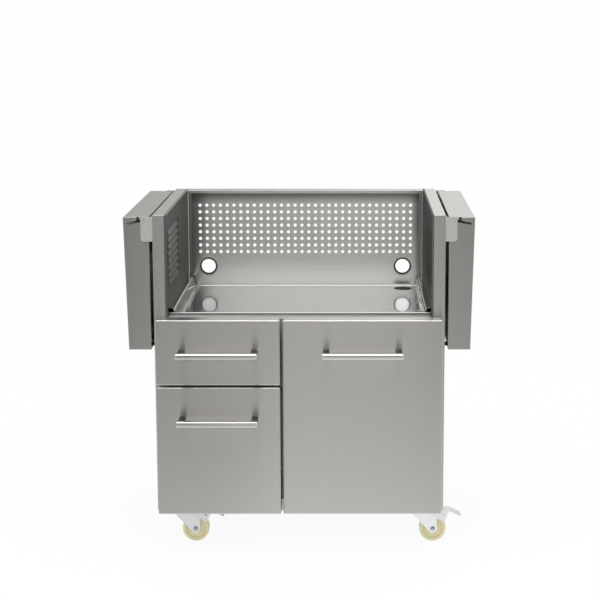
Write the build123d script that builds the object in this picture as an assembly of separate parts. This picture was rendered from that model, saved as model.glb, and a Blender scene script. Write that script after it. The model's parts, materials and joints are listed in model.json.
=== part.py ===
from build123d import *
import math
import os

# Grill cart in millimetres: X to the right, Y to the back, Z up.
# The origin lies on the floor, under the middle of the cart with its shelves folded down.

# Cabinet shell of folded stainless sheet
CABINET_W = 802.0
CABINET_D = 555.0
CABINET_TOP = 945.5
BASE_Z = 106.0
BASE_H = 35.0
WALL_T = 38.0
SHEET = 1.2
BEND_R = 2.0
HEM_T = 5.0
HEM_W = 8.0
SEAM = 0.8

# Drawer fronts, closing with a shadow gap before the cabinet
REVEAL = 3.0
FRONT_T = 40.0
FRONT_R = 4.0
FRONT_INSET = 7.7
FRONT_RISE = 17.5
FRONT_BOTTOM = 110.0
FRONT_GAP = 6.0
UPPER_FRONT_H = 183.0
SPLIT_X = -49.0
WINDOW_LAP = 10.0
LINER_INSET = 14.0

# Bar handles
BAR_D = 20.0
BAR_L = 221.0
BAR_STANDOFF = 48.0
BAR_DROP = 90.0
BAR_CHAMFER = 1.2
COLLAR_L = 21.0
GROOVE_W = 1.0
GROOVE_DEPTH = 0.5
POST_D = 19.0
POST_INSET = 1.5
SADDLE_CLEAR = 0.05

# Bay for the grill head
TRAY_Z = 644.5
TRAY_SKIRT = 18.0
TRAY_REAR_H = 20.0
TRAY_CURB_H = 3.0
TRAY_CURB_R = 1.8
LIP_SET = 30.0
LIP_H = 24.0
LIP_T = 7.0
LIP_R = 2.8
APRON_SET = 8.0
APRON_DROP = 12.0
APRON_H = 34.0
LEDGE_RISE = 33.5
LEDGE_W = 12.5
LEDGE_SET = 10.0
STEP_W = 4.5
STEP_DROP = 5.0
RAIL_LEAN = 5.6
FOOT_W = 11.5
PANEL_SET = 22.0
RAIL_D = 37.0
RAIL_LIP = 9.5
RAIL_REAR = 40.0
ANGLE_LEG = 11.0

# Perforations and hose passages
HOLE_D = 10.0
HOLE_COLS = 32
HOLE_PITCH_X = 21.0
HOLE_PITCH_Z = 20.8
HOLE_RISE = 106.8
HOLE_HEADROOM = 40.0
HOSE_X = 301.4
HOSE_RISE = 61.8
GROMMET_RIM_D = 53.0
GROMMET_NECK_D = 49.0
GROMMET_BORE = 44.0
GROMMET_RIM_T = 1.5
NECK_CLEAR = 0.1
TRAY_HOLE_D = 54.0
TRAY_HOLE_SET = 48.0

# Louvres in the inner walls
LOUVRE_PITCH = 20.0
LOUVRE_RISE = 101.5
LOUVRE_HEADROOM = 50.0
LOUVRE_L = 205.0
LOUVRE_SET = 26.0
LOUVRE_H = 9.0
LOUVRE_PROUD = 5.0
VENT_RIB_GAP = 22.0
VENT_RIB_W = 6.0
VENT_RIB_T = 1.5

# Lower compartment
DIVIDER_T = 20.0
DIVIDER_SET = 6.0
BACK_SLOT_N = 8
BACK_SLOT_L = 60.0
BACK_SLOT_H = 8.0
BACK_SLOT_PITCH = 84.0
BACK_SLOT_RISE = 40.0
BOX_D = 460.0
BOX_LIFT = 12.0
UPPER_BOX_H = 118.0
LOWER_BOX_H = 270.0
TANK_TRAY_H = 100.0
TANK_RING_D = 215.0
TANK_RING_H = 25.0
TANK_RING_T = 2.0

# Three-member telescopic slides
SLIDE_L = 450.0
SLIDE_H = 45.0
SLIDE_T = 12.7
SLIDE_SET = 10.0
SLIDE_RISE = 20.0
SLIDE_GAP = 0.4
SLIDE_STEP = 1.8
SLIDE_CLEAR = 1.5

# Folding side shelves
SHELF_DROP = 6.0
SHELF_W = 371.0
SHELF_GAP = 9.5
SKIRT_HINGE = 70.9
SKIRT_OUTER = 61.6
SHELF_RETURN = 14.0
SHELF_PLAY = 0.4
STIFFENER_W = 60.0
STIFFENER_H = 20.0
STIFFENER_END = 30.0
BRACKET_W = 31.5
BRACKET_H = 68.0
BRACKET_T = 2.5
BRACKET_LEG = 30.0
BRACKET_CORNER = 8.0
BRACKET_RISE = 1.0
PIN_D = 6.0
PIN_CLEAR = 0.1
PIN_OFFSET = 22.0
PIN_DROP = 8.5
PIN_HEAD_D = 9.0
PIN_HEAD_T = 1.5
PIN_TAIL = 4.0
SLOT_RUN = 45.4
SLOT_FALL = 9.4
SLOT_ENTRY = 17.6
SLOT_DEPTH = 6.0
BUMPER_D = 12.0
BUMPER_CLEAR = 0.3
BUMPER_EDGE = 1.0
BUMPER_RISE = 8.0
BUMPER_END = 40.0

# Swivel casters
CASTER_X = 337.0
CASTER_SET = 55.0
PLATE_L = 85.0
PLATE_W = 60.0
PLATE_T = 2.5
PLATE_R = 6.0
BOLT_PITCH_L = 65.0
BOLT_PITCH_W = 32.0
BOLT_D = 6.0
BOLT_CLEAR = 0.2
BOLT_HEAD_AF = 10.0
BOLT_HEAD_H = 4.0
BOLT_NUT_H = 5.0
BOLT_TAIL = 3.0
CHANNEL_W = 90.0
CHANNEL_T = 2.0
RACE_D = 46.0
RACE_H = 5.0
KINGPIN_D = 12.0
KINGPIN_HEAD_D = 18.0
KINGPIN_HEAD_T = 3.0
SWIVEL_PLAY = 0.3
WHEEL_D = 75.0
WHEEL_W = 26.0
WHEEL_SHOULDER = 4.0
WHEEL_WEB_T = 18.0
WHEEL_RIM = 9.0
HUB_D = 26.0
HUB_W = 28.0
HUB_CLEAR = 0.5
TRAIL = 37.0
FORK_T = 2.5
FORK_BACK = 30.0
FORK_FRONT = 49.0
FORK_CROWN_H = 6.0
BOSS_R = 12.5
AXLE_D = 8.0
AXLE_CLEAR = 0.1
AXLE_AF = 13.0
AXLE_HEAD_H = 5.3
AXLE_NUT_H = 6.5
AXLE_TAIL = 2.0

# Brake pedals of the front casters
PEDAL_T = 1.5
PEDAL_PLAY = 0.4
PEDAL_PIVOT_X = 30.0
PEDAL_PIVOT_Z = 86.0
PEDAL_PIVOT_D = 6.0
PEDAL_EAR_R = 8.0
PEDAL_ROOF_X = 54.0
PEDAL_ROOF_Z = 92.0
PEDAL_BEND_X = 84.0
PEDAL_TIP_X = 117.0
PEDAL_TIP_Z = 76.0
PEDAL_CHEEK_X = 70.0
PEDAL_CHEEK_Z = 58.0
PEDAL_HOLE_D = 6.0

# Screws of the support rails
SCREW_N = 3
SCREW_PITCH = 125.0
SCREW_D = 4.0
SCREW_CLEAR = 0.15
SCREW_HEAD_D = 8.0
SCREW_HEAD_H = 2.4
SCREW_L = 8.0

# Places worked out from the sizes above
SIDE_X = CABINET_W / 2
INNER_X = SIDE_X - WALL_T
FRONT_REACH = REVEAL + FRONT_T + BAR_STANDOFF + BAR_D / 2
FRONT_Y = (FRONT_REACH - CABINET_D) / 2
BACK_Y = FRONT_Y + CABINET_D
DRAWER_Y = FRONT_Y - REVEAL
FACE_Y = DRAWER_Y - FRONT_T
BAR_Y = FACE_Y - BAR_STANDOFF
BASE_TOP = BASE_Z + BASE_H
FRONT_TOP = TRAY_Z + FRONT_RISE
LIP_Y = FRONT_Y + LIP_SET
LIP_TOP = TRAY_Z + LIP_H
APRON_TOP = LIP_TOP - APRON_DROP
APRON_BOTTOM = APRON_TOP - APRON_H
PANEL_Y = BACK_Y - PANEL_SET
HOSE_Z = TRAY_Z + HOSE_RISE
HOLE_Z = TRAY_Z + HOLE_RISE
HOLE_ROWS = 1 + int((CABINET_TOP - HOLE_HEADROOM - HOLE_Z) / HOLE_PITCH_Z)
LOUVRE_Z = TRAY_Z + LOUVRE_RISE
LOUVRE_N = 1 + int((CABINET_TOP - LOUVRE_HEADROOM - LOUVRE_Z) / LOUVRE_PITCH)
CUT = 1.0

NODES = {}


def block(x0, x1, y0, y1, z0, z1):
    """Solid block between two corners."""
    size = Box(x1 - x0, y1 - y0, z1 - z0)
    return Pos((x0 + x1) / 2, (y0 + y1) / 2, (z0 + z1) / 2) * size


def rod_y(diameter, y0, y1, x=0.0, z=0.0):
    """Cylinder along Y."""
    return Pos(x, (y0 + y1) / 2, z) * Rot(90, 0, 0) * Cylinder(diameter / 2, y1 - y0)


def rod_z(diameter, z0, z1, x=0.0, y=0.0):
    """Cylinder along Z."""
    return Pos(x, y, (z0 + z1) / 2) * Cylinder(diameter / 2, z1 - z0)


def prism_y(points, y0, y1):
    """Outline in X and Z, carried along Y."""
    face = Plane.XZ * make_face(Polyline(*points, close=True))
    return Pos(0, y1, 0) * extrude(face, amount=y1 - y0)


def hex_y(across, y0, y1, x=0.0, z=0.0):
    """Hexagon head or nut along Y."""
    face = RegularPolygon(across / 2, 6, major_radius=False)
    return Pos(x, y1, z) * extrude(Plane.XZ * face, amount=y1 - y0)


def hex_z(across, z0, z1, x=0.0, y=0.0):
    """Hexagon head or nut along Z."""
    face = RegularPolygon(across / 2, 6, major_radius=False)
    return Pos(x, y, z0) * extrude(face, amount=z1 - z0)


def mirrored(shape):
    """The same piece on the other side of the cart."""
    return mirror(shape, about=Plane.YZ)


def both_sides(shape):
    return [mirrored(shape), shape]


def node(name, *shapes):
    """Keeps one named piece, or one group of like pieces."""
    solids = [solid for shape in shapes for solid in shape.solids()]
    NODES[name] = solids[0] if len(solids) == 1 else Compound(solids)


def side_panel():
    """Outer skin of the right wall with its front, top, rear and bottom flanges."""
    x0 = INNER_X + HEM_T + SEAM
    skin = block(x0, SIDE_X, FRONT_Y, BACK_Y, BASE_Z, CABINET_TOP)
    folds = skin.edges().filter_by_position(Axis.X, x0 + CUT, SIDE_X)
    skin = fillet(folds, BEND_R)
    hollow = block(x0 - CUT, SIDE_X - SHEET, FRONT_Y + SHEET, BACK_Y - SHEET,
                   BASE_Z + SHEET, CABINET_TOP - SHEET)
    return skin - hollow


def inner_wall():
    """Liner of the right wall, hemmed round its edge and louvred beside the grill."""
    wall = block(INNER_X, INNER_X + HEM_T, FRONT_Y, BACK_Y, BASE_Z, CABINET_TOP)
    wall = fillet(wall.edges().filter_by_position(Axis.X, INNER_X - CUT, INNER_X), BEND_R / 2)
    wall -= block(INNER_X + SHEET, INNER_X + HEM_T + CUT, FRONT_Y + HEM_W, BACK_Y - HEM_W,
                  BASE_Z + HEM_W, CABINET_TOP - HEM_W)
    y0 = FRONT_Y + LOUVRE_SET
    y1 = y0 + LOUVRE_L
    for row in range(LOUVRE_N):
        z = LOUVRE_Z + row * LOUVRE_PITCH
        hood = [(INNER_X + SHEET, z + LOUVRE_H), (INNER_X, z + LOUVRE_H),
                (INNER_X - LOUVRE_PROUD, z), (INNER_X - LOUVRE_PROUD + SHEET, z),
                (INNER_X + SHEET, z + LOUVRE_H - SHEET)]
        wall -= block(INNER_X - CUT, INNER_X + SHEET + CUT, y0, y1, z, z + LOUVRE_H - SHEET)
        wall += prism_y(hood, y0, y1)
    rib_y = y1 + VENT_RIB_GAP
    rib_top = LOUVRE_Z + LOUVRE_N * LOUVRE_PITCH
    wall += block(INNER_X - VENT_RIB_T, INNER_X + SHEET, rib_y, rib_y + VENT_RIB_W, LOUVRE_Z, rib_top)
    return wall


def back_top_rail():
    """Folded rail across the back, flush with the wall tops."""
    y0 = BACK_Y - RAIL_D
    rail = block(-INNER_X, INNER_X, y0, BACK_Y, CABINET_TOP - RAIL_REAR, CABINET_TOP)
    folds = rail.edges().filter_by(Axis.X).filter_by_position(Axis.Z, CABINET_TOP - CUT, CABINET_TOP)
    rail = fillet(folds, BEND_R)
    rail -= block(-INNER_X - CUT, INNER_X + CUT, y0 + SHEET, BACK_Y - SHEET,
                  CABINET_TOP - RAIL_REAR - CUT, CABINET_TOP - SHEET)
    rail -= block(-INNER_X - CUT, INNER_X + CUT, y0 - CUT, y0 + SHEET + CUT,
                  CABINET_TOP - RAIL_REAR - CUT, CABINET_TOP - RAIL_LIP)
    return rail


def upper_back_panel():
    """Perforated sheet behind the grill, with two round hose passages."""
    z0 = TRAY_Z
    z1 = CABINET_TOP - SHEET
    mid_z = (z0 + z1) / 2
    holes_z = HOLE_Z + (HOLE_ROWS - 1) * HOLE_PITCH_Z / 2
    with BuildSketch() as sheet:
        Rectangle(2 * INNER_X, z1 - z0)
        with Locations((0, holes_z - mid_z)):
            with GridLocations(HOLE_PITCH_X, HOLE_PITCH_Z, HOLE_COLS, HOLE_ROWS):
                Circle(HOLE_D / 2, mode=Mode.SUBTRACT)
        with Locations((-HOSE_X, HOSE_Z - mid_z), (HOSE_X, HOSE_Z - mid_z)):
            Circle(GROMMET_NECK_D / 2 + NECK_CLEAR, mode=Mode.SUBTRACT)
    return Pos(0, PANEL_Y + SHEET, mid_z) * extrude(Plane.XZ * sheet.sketch, amount=SHEET)


def hose_grommet():
    """Rubber ring with a groove that holds the sheet."""
    y0 = PANEL_Y - GROMMET_RIM_T
    y1 = PANEL_Y + SHEET + GROMMET_RIM_T
    ring = rod_y(GROMMET_RIM_D, y0, y1, HOSE_X, HOSE_Z)
    ring = fillet(ring.edges(), GROMMET_RIM_T / 2)
    groove = rod_y(GROMMET_RIM_D + CUT, PANEL_Y, PANEL_Y + SHEET, HOSE_X, HOSE_Z)
    groove -= rod_y(GROMMET_NECK_D, PANEL_Y - CUT, PANEL_Y + SHEET + CUT, HOSE_X, HOSE_Z)
    return ring - groove - rod_y(GROMMET_BORE, y0 - CUT, y1 + CUT, HOSE_X, HOSE_Z)


def rear_corner_angle():
    """Angle that joins the back panel to the right inner wall, behind the support rail."""
    z0 = TRAY_Z
    z1 = CABINET_TOP - RAIL_LIP
    angle = block(INNER_X - ANGLE_LEG, INNER_X, PANEL_Y - ANGLE_LEG, PANEL_Y, z0, z1)
    return angle - block(INNER_X - ANGLE_LEG - CUT, INNER_X - SHEET, PANEL_Y - ANGLE_LEG - CUT,
                         PANEL_Y - SHEET, z0 - CUT, z1 + CUT)


def rail_screw_places():
    """Screw positions along the foot of the right support rail."""
    middle = (LIP_Y + PANEL_Y) / 2
    foot_middle = INNER_X - LEDGE_W - STEP_W - RAIL_LEAN - FOOT_W / 2
    return [(foot_middle, middle + (place - (SCREW_N - 1) / 2) * SCREW_PITCH) for place in range(SCREW_N)]


def grill_tray():
    """Floor of the grill bay: hemmed lip, side skirts, a curb before the back panel, an upstand behind it."""
    rear = PANEL_Y + 2 * SHEET
    tray = block(-INNER_X, INNER_X, LIP_Y, rear, TRAY_Z - SHEET, TRAY_Z)
    lip = block(-INNER_X, INNER_X, LIP_Y, LIP_Y + LIP_T, TRAY_Z - TRAY_SKIRT, LIP_TOP)
    lip = fillet(lip.edges().filter_by(Axis.X).group_by(Axis.Z)[-1], LIP_R)
    lip -= block(-INNER_X - CUT, INNER_X + CUT, LIP_Y + SHEET, LIP_Y + LIP_T - SHEET,
                 TRAY_Z - TRAY_SKIRT - CUT, LIP_TOP - SHEET)
    lip -= block(-INNER_X - CUT, INNER_X + CUT, LIP_Y + SHEET, LIP_Y + LIP_T + CUT,
                 TRAY_Z - TRAY_SKIRT - CUT, TRAY_Z - SHEET)
    tray += lip
    tray += block(-INNER_X, INNER_X, PANEL_Y + SHEET, rear, TRAY_Z - SHEET, TRAY_Z + TRAY_REAR_H)
    curb_x = INNER_X - ANGLE_LEG
    bend = TRAY_CURB_R + SHEET
    curb = block(-curb_x, curb_x, PANEL_Y - bend, PANEL_Y, TRAY_Z, TRAY_Z + TRAY_CURB_H)
    cove = Pos(0, PANEL_Y - bend, TRAY_Z + TRAY_CURB_R) * Rot(0, 90, 0) * Cylinder(TRAY_CURB_R, 2 * INNER_X)
    curb -= cove
    curb -= block(-INNER_X, INNER_X, PANEL_Y - bend - CUT, PANEL_Y - SHEET, TRAY_Z + TRAY_CURB_R,
                  TRAY_Z + TRAY_CURB_H + CUT)
    tray += curb
    for side in both_sides(block(INNER_X - SHEET, INNER_X, LIP_Y, PANEL_Y - SHEET,
                                 TRAY_Z - TRAY_SKIRT, TRAY_Z)):
        tray += side
    tray -= rod_z(TRAY_HOLE_D, TRAY_Z - SHEET - CUT, TRAY_Z + CUT, HOSE_X, PANEL_Y - TRAY_HOLE_SET)
    for x, y in rail_screw_places():
        hole = rod_z(SCREW_D + 2 * SCREW_CLEAR, TRAY_Z - SHEET - CUT, TRAY_Z + CUT, x, y)
        tray -= hole
        tray -= mirrored(hole)
    return tray


def support_rail():
    """Folded rail beside the tray: a ledge that carries the grill, a step, a leaning face and a foot."""
    z1 = TRAY_Z + LEDGE_RISE
    z2 = z1 - STEP_DROP
    ledge_x = INNER_X - LEDGE_W
    step_x = ledge_x - STEP_W
    toe_x = step_x - RAIL_LEAN
    foot_x = toe_x - FOOT_W
    profile = [(INNER_X, z1), (ledge_x, z1), (ledge_x, z2), (step_x, z2), (toe_x, TRAY_Z + SHEET),
               (foot_x, TRAY_Z + SHEET), (foot_x, TRAY_Z), (toe_x + SHEET, TRAY_Z),
               (step_x + SHEET, z2 - SHEET), (ledge_x + SHEET, z2 - SHEET),
               (ledge_x + SHEET, z1 - SHEET), (INNER_X, z1 - SHEET)]
    front = LIP_Y + LIP_T
    rail = prism_y(profile, front, PANEL_Y - ANGLE_LEG)
    rail -= block(ledge_x, INNER_X + CUT, front - CUT, front + LEDGE_SET, z2, z1 + CUT)
    for x, y in rail_screw_places():
        rail -= rod_z(SCREW_D + 2 * SCREW_CLEAR, TRAY_Z - CUT, TRAY_Z + SHEET + CUT, x, y)
    return rail


def rail_screw(x, y):
    """Pan-head screw seated on the foot of a support rail."""
    seat = TRAY_Z + SHEET
    head = rod_z(SCREW_HEAD_D, seat, seat + SCREW_HEAD_H, x, y)
    head = fillet(head.edges().group_by(Axis.Z)[-1], SCREW_HEAD_H / 2)
    return head + rod_z(SCREW_D, seat - SCREW_L, seat, x, y)


def front_apron():
    """Channel across the front, under the tray lip."""
    y0 = FRONT_Y + APRON_SET
    apron = block(-INNER_X, INNER_X, y0, LIP_Y, APRON_BOTTOM, APRON_TOP)
    return apron - block(-INNER_X - CUT, INNER_X + CUT, y0 + SHEET, LIP_Y + CUT,
                         APRON_BOTTOM + SHEET, APRON_TOP - SHEET)


def centre_divider():
    """Hollow upright between the drawers and the tank compartment."""
    x0 = SPLIT_X - DIVIDER_T / 2
    x1 = SPLIT_X + DIVIDER_T / 2
    y0 = FRONT_Y + DIVIDER_SET
    upright = block(x0, x1, y0, PANEL_Y, BASE_TOP, APRON_BOTTOM)
    return upright - block(x0 + SHEET, x1 - SHEET, y0 + SHEET, PANEL_Y - SHEET,
                           BASE_TOP - CUT, APRON_BOTTOM + CUT)


def lower_back_panel():
    """Back of the lower compartment with a row of vent slots near the floor."""
    panel = block(-INNER_X, INNER_X, PANEL_Y, PANEL_Y + SHEET, BASE_TOP, TRAY_Z - SHEET)
    slot_z = BASE_TOP + BACK_SLOT_RISE
    for place in range(BACK_SLOT_N):
        x = (place - (BACK_SLOT_N - 1) / 2) * BACK_SLOT_PITCH
        panel -= block(x - BACK_SLOT_L / 2, x + BACK_SLOT_L / 2, PANEL_Y - CUT, PANEL_Y + SHEET + CUT,
                       slot_z, slot_z + BACK_SLOT_H)
    return panel


def base_pan():
    """Floor of the cabinet, folded down on all four sides."""
    pan = block(-INNER_X, INNER_X, FRONT_Y, BACK_Y, BASE_Z, BASE_TOP)
    return pan - block(-INNER_X + SHEET, INNER_X - SHEET, FRONT_Y + SHEET, BACK_Y - SHEET,
                       BASE_Z - CUT, BASE_TOP - SHEET)


def caster_places():
    """Name, X and Y of the four swivel axes."""
    front = FRONT_Y + CASTER_SET
    rear = BACK_Y - CASTER_SET
    return [("front_left", -CASTER_X, front), ("front_right", CASTER_X, front),
            ("rear_left", -CASTER_X, rear), ("rear_right", CASTER_X, rear)]


def bolt_places(x, y):
    """Bolt axes of the caster plate at one swivel axis."""
    return [(x + i * BOLT_PITCH_W / 2, y + j * BOLT_PITCH_L / 2) for i in (-1, 1) for j in (-1, 1)]


def base_channel(y):
    """Channel under the base pan that takes two caster plates."""
    x1 = INNER_X - SHEET
    channel = block(-x1, x1, y - CHANNEL_W / 2, y + CHANNEL_W / 2, BASE_Z, BASE_TOP - SHEET)
    channel -= block(-x1 - CUT, x1 + CUT, y - CHANNEL_W / 2 + CHANNEL_T, y + CHANNEL_W / 2 - CHANNEL_T,
                     BASE_Z + CHANNEL_T, BASE_TOP)
    for x in (-CASTER_X, CASTER_X):
        for bx, by in bolt_places(x, y):
            channel -= rod_z(BOLT_D + 2 * BOLT_CLEAR, BASE_Z - CUT, BASE_Z + CHANNEL_T + CUT, bx, by)
    return channel


def caster_plate(x, y):
    """Top plate with its ball race and the kingpin that holds the fork."""
    z0 = BASE_Z - PLATE_T
    race_z = z0 - RACE_H
    head_top = race_z - SWIVEL_PLAY - FORK_T - SWIVEL_PLAY
    plate = block(x - PLATE_W / 2, x + PLATE_W / 2, y - PLATE_L / 2, y + PLATE_L / 2, z0, BASE_Z)
    plate = fillet(plate.edges().filter_by(Axis.Z), PLATE_R)
    plate += rod_z(RACE_D, race_z, z0, x, y)
    plate += rod_z(KINGPIN_D, head_top, race_z, x, y)
    plate += rod_z(KINGPIN_HEAD_D, head_top - KINGPIN_HEAD_T, head_top, x, y)
    for bx, by in bolt_places(x, y):
        plate -= rod_z(BOLT_D + 2 * BOLT_CLEAR, z0 - RACE_H, BASE_Z + CUT, bx, by)
    return plate


def caster_bolt(x, y):
    """Hexagon bolt with its nut inside the base channel."""
    z0 = BASE_Z - PLATE_T
    nut_z = BASE_Z + CHANNEL_T
    bolt = hex_z(BOLT_HEAD_AF, z0 - BOLT_HEAD_H, z0, x, y)
    bolt += rod_z(BOLT_D, z0, nut_z + BOLT_NUT_H + BOLT_TAIL, x, y)
    return bolt + hex_z(BOLT_HEAD_AF, nut_z, nut_z + BOLT_NUT_H, x, y)


FORK_TOP = BASE_Z - PLATE_T - RACE_H - SWIVEL_PLAY
FORK_IN = HUB_W / 2 + HUB_CLEAR
FORK_OUT = FORK_IN + FORK_T
PEDAL_IN = FORK_OUT + PEDAL_PLAY
PEDAL_OUT = PEDAL_IN + PEDAL_T


def caster_fork(with_brake):
    """Stamped fork about its swivel axis: crown, two cheeks and, with a brake, the pedal's pivot."""
    crown_z = FORK_TOP - FORK_T
    top = Pos((FORK_FRONT - FORK_BACK) / 2, FORK_TOP - FORK_CROWN_H / 2)
    outline = top * Rectangle(FORK_FRONT + FORK_BACK, FORK_CROWN_H)
    outline += Pos(TRAIL, WHEEL_D / 2) * Circle(BOSS_R)
    cheek = Plane.XZ * make_hull(outline.edges())
    fork = Pos(0, -FORK_IN, 0) * extrude(cheek, amount=FORK_T)
    fork += Pos(0, FORK_OUT, 0) * extrude(cheek, amount=FORK_T)
    fork += block(-FORK_BACK, FORK_FRONT, -FORK_OUT, FORK_OUT, crown_z, FORK_TOP)
    fork += rod_z(RACE_D, crown_z, FORK_TOP)
    fork -= rod_z(KINGPIN_D + 2 * PIN_CLEAR, crown_z - CUT, FORK_TOP + CUT)
    fork -= rod_y(AXLE_D + 2 * AXLE_CLEAR, -FORK_OUT - CUT, FORK_OUT + CUT, TRAIL, WHEEL_D / 2)
    if with_brake:
        reach = PEDAL_OUT + PEDAL_T
        fork += rod_y(PEDAL_PIVOT_D, -reach, reach, PEDAL_PIVOT_X, PEDAL_PIVOT_Z)
    return fork


def caster_wheel():
    """Moulded wheel about its swivel axis, with dished sides and a plain bore."""
    r = WHEEL_D / 2
    half = WHEEL_W / 2
    profile = Polyline((AXLE_D / 2 + AXLE_CLEAR, -HUB_W / 2), (HUB_D / 2, -HUB_W / 2),
                       (HUB_D / 2, -WHEEL_WEB_T / 2), (r - WHEEL_RIM, -WHEEL_WEB_T / 2),
                       (r - WHEEL_RIM, -half), (r, -half), (r, half), (r - WHEEL_RIM, half),
                       (r - WHEEL_RIM, WHEEL_WEB_T / 2), (HUB_D / 2, WHEEL_WEB_T / 2),
                       (HUB_D / 2, HUB_W / 2), (AXLE_D / 2 + AXLE_CLEAR, HUB_W / 2), close=True)
    wheel = revolve(make_face(profile), Axis.Y)
    tread = [edge for edge in wheel.edges().filter_by(GeomType.CIRCLE) if abs(edge.radius - r) < CUT / 2]
    wheel = fillet(tread, WHEEL_SHOULDER)
    return Pos(TRAIL, 0, r) * wheel


def wheel_axle():
    """Axle bolt with its hexagon head in front and a nut behind."""
    z = WHEEL_D / 2
    axle = rod_y(AXLE_D, -FORK_OUT, FORK_OUT + AXLE_NUT_H + AXLE_TAIL, TRAIL, z)
    axle += hex_y(AXLE_AF, -FORK_OUT - AXLE_HEAD_H, -FORK_OUT, TRAIL, z)
    return axle + hex_y(AXLE_AF, FORK_OUT, FORK_OUT + AXLE_NUT_H, TRAIL, z)


def brake_pedal():
    """Stamped pedal: two ears on the fork's pivot, and a roof bent down to its tip."""
    ear = make_face(Polyline((PEDAL_PIVOT_X, PEDAL_PIVOT_Z + PEDAL_EAR_R - PEDAL_T),
                             (PEDAL_ROOF_X, PEDAL_ROOF_Z), (PEDAL_BEND_X, PEDAL_ROOF_Z),
                             (PEDAL_CHEEK_X, PEDAL_CHEEK_Z),
                             (PEDAL_PIVOT_X, PEDAL_PIVOT_Z - PEDAL_EAR_R), close=True))
    ear += Pos(PEDAL_PIVOT_X, PEDAL_PIVOT_Z) * Circle(PEDAL_EAR_R)
    ear -= Pos(PEDAL_PIVOT_X, PEDAL_PIVOT_Z) * Circle(PEDAL_PIVOT_D / 2 + PIN_CLEAR)
    hole_z = (PEDAL_PIVOT_Z + PEDAL_CHEEK_Z) / 2 + PEDAL_EAR_R
    ear -= Pos(PEDAL_CHEEK_X - PEDAL_HOLE_D / 2, hole_z) * Circle(PEDAL_HOLE_D / 2)
    ear = Plane.XZ * ear
    pedal = Pos(0, -PEDAL_IN, 0) * extrude(ear, amount=PEDAL_T)
    pedal += Pos(0, PEDAL_OUT, 0) * extrude(ear, amount=PEDAL_T)
    roof = [(PEDAL_ROOF_X, PEDAL_ROOF_Z), (PEDAL_BEND_X, PEDAL_ROOF_Z), (PEDAL_TIP_X, PEDAL_TIP_Z),
            (PEDAL_TIP_X, PEDAL_TIP_Z - PEDAL_T), (PEDAL_BEND_X, PEDAL_ROOF_Z - PEDAL_T),
            (PEDAL_ROOF_X, PEDAL_ROOF_Z - PEDAL_T)]
    return pedal + prism_y(roof, -PEDAL_OUT, PEDAL_OUT)


def hollow_front(x0, x1, z0, z1, window):
    """Folded front panel, open at the back through a window that its neighbour covers."""
    front = block(x0, x1, FACE_Y, DRAWER_Y, z0, z1)
    front = fillet(front.edges().filter_by_position(Axis.Y, FACE_Y - CUT, DRAWER_Y - CUT), FRONT_R)
    inside = block(x0 + SHEET, x1 - SHEET, FACE_Y + SHEET, DRAWER_Y - SHEET, z0 + SHEET, z1 - SHEET)
    folds = inside.edges().filter_by_position(Axis.Y, FACE_Y, DRAWER_Y - SHEET - CUT)
    front -= fillet(folds, FRONT_R - SHEET)
    wx0, wx1, wz0, wz1 = window
    return front - block(wx0, wx1, DRAWER_Y - SHEET - CUT, DRAWER_Y + CUT, wz0, wz1)


def handle(x, front_top):
    """Round bar with a groove beside each end collar, and its two posts, which are saddled to the bar."""
    z = front_top - BAR_DROP
    bar = Pos(x, BAR_Y, z) * Rot(0, 90, 0) * Cylinder(BAR_D / 2, BAR_L)
    bar = chamfer(bar.edges().filter_by(GeomType.CIRCLE), BAR_CHAMFER)
    ring = Cylinder(BAR_D / 2 + CUT, GROOVE_W) - Cylinder(BAR_D / 2 - GROOVE_DEPTH, GROOVE_W)
    for side in (-1, 1):
        bar -= Pos(x + side * (BAR_L / 2 - COLLAR_L), BAR_Y, z) * Rot(0, 90, 0) * ring
    reach = BAR_L / 2 - POST_INSET - POST_D / 2
    saddle = Pos(x, BAR_Y, z) * Rot(0, 90, 0) * Cylinder(BAR_D / 2 + SADDLE_CLEAR, BAR_L + CUT)
    posts = [rod_y(POST_D, BAR_Y, FACE_Y, x + side * reach, z) - saddle for side in (-1, 1)]
    return bar, [post.solids().sort_by(Axis.Y)[-1] for post in posts]


def open_box(x0, x1, y0, y1, z0, z1):
    """Folded box without a lid."""
    box = block(x0, x1, y0, y1, z0, z1)
    return box - block(x0 + SHEET, x1 - SHEET, y0 + SHEET, y1 - SHEET, z0 + SHEET, z1 + CUT)


def channel_profile(wall, side, start, end, half, web_at_end):
    """C section standing off a wall: web and two flanges, as an outline in X and Z."""
    inner = half - SHEET
    back, tip = (end, start) if web_at_end else (start, end)
    bend = back - SHEET if web_at_end else back + SHEET
    outline = [(back, -half), (tip, -half), (tip, -inner), (bend, -inner),
               (bend, inner), (tip, inner), (tip, half), (back, half)]
    return [(wall + side * u, z) for u, z in outline]


def slide_members(wall, side, z):
    """Outer, middle and inner member of one slide, from its wall to the drawer."""
    y0 = FRONT_Y + SLIDE_SET
    outer_half = SLIDE_H / 2
    middle_half = outer_half - SHEET - SLIDE_GAP
    inner_half = middle_half - SHEET - SLIDE_GAP
    middle_start = SHEET + SLIDE_STEP
    inner_start = middle_start + SHEET + SLIDE_STEP
    lip = SLIDE_T - SLIDE_CLEAR
    outlines = [channel_profile(wall, side, 0, lip, outer_half, False),
                channel_profile(wall, side, middle_start, lip, middle_half, False),
                channel_profile(wall, side, inner_start, SLIDE_T, inner_half, True)]
    return [Pos(0, 0, z) * prism_y(outline, y0, y0 + SLIDE_L) for outline in outlines]


def shelf_section(inset):
    """Outline of the hanging right shelf in X and Z, drawn in by a sheet thickness or not."""
    rim = SIDE_X + SHELF_GAP
    top = CABINET_TOP - SHELF_DROP
    bottom = top - SHELF_W
    return [(rim + inset, top - inset), (rim + SKIRT_HINGE - inset, top - inset),
            (rim + SKIRT_OUTER - inset, bottom + inset), (rim + inset, bottom + inset)]


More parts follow.
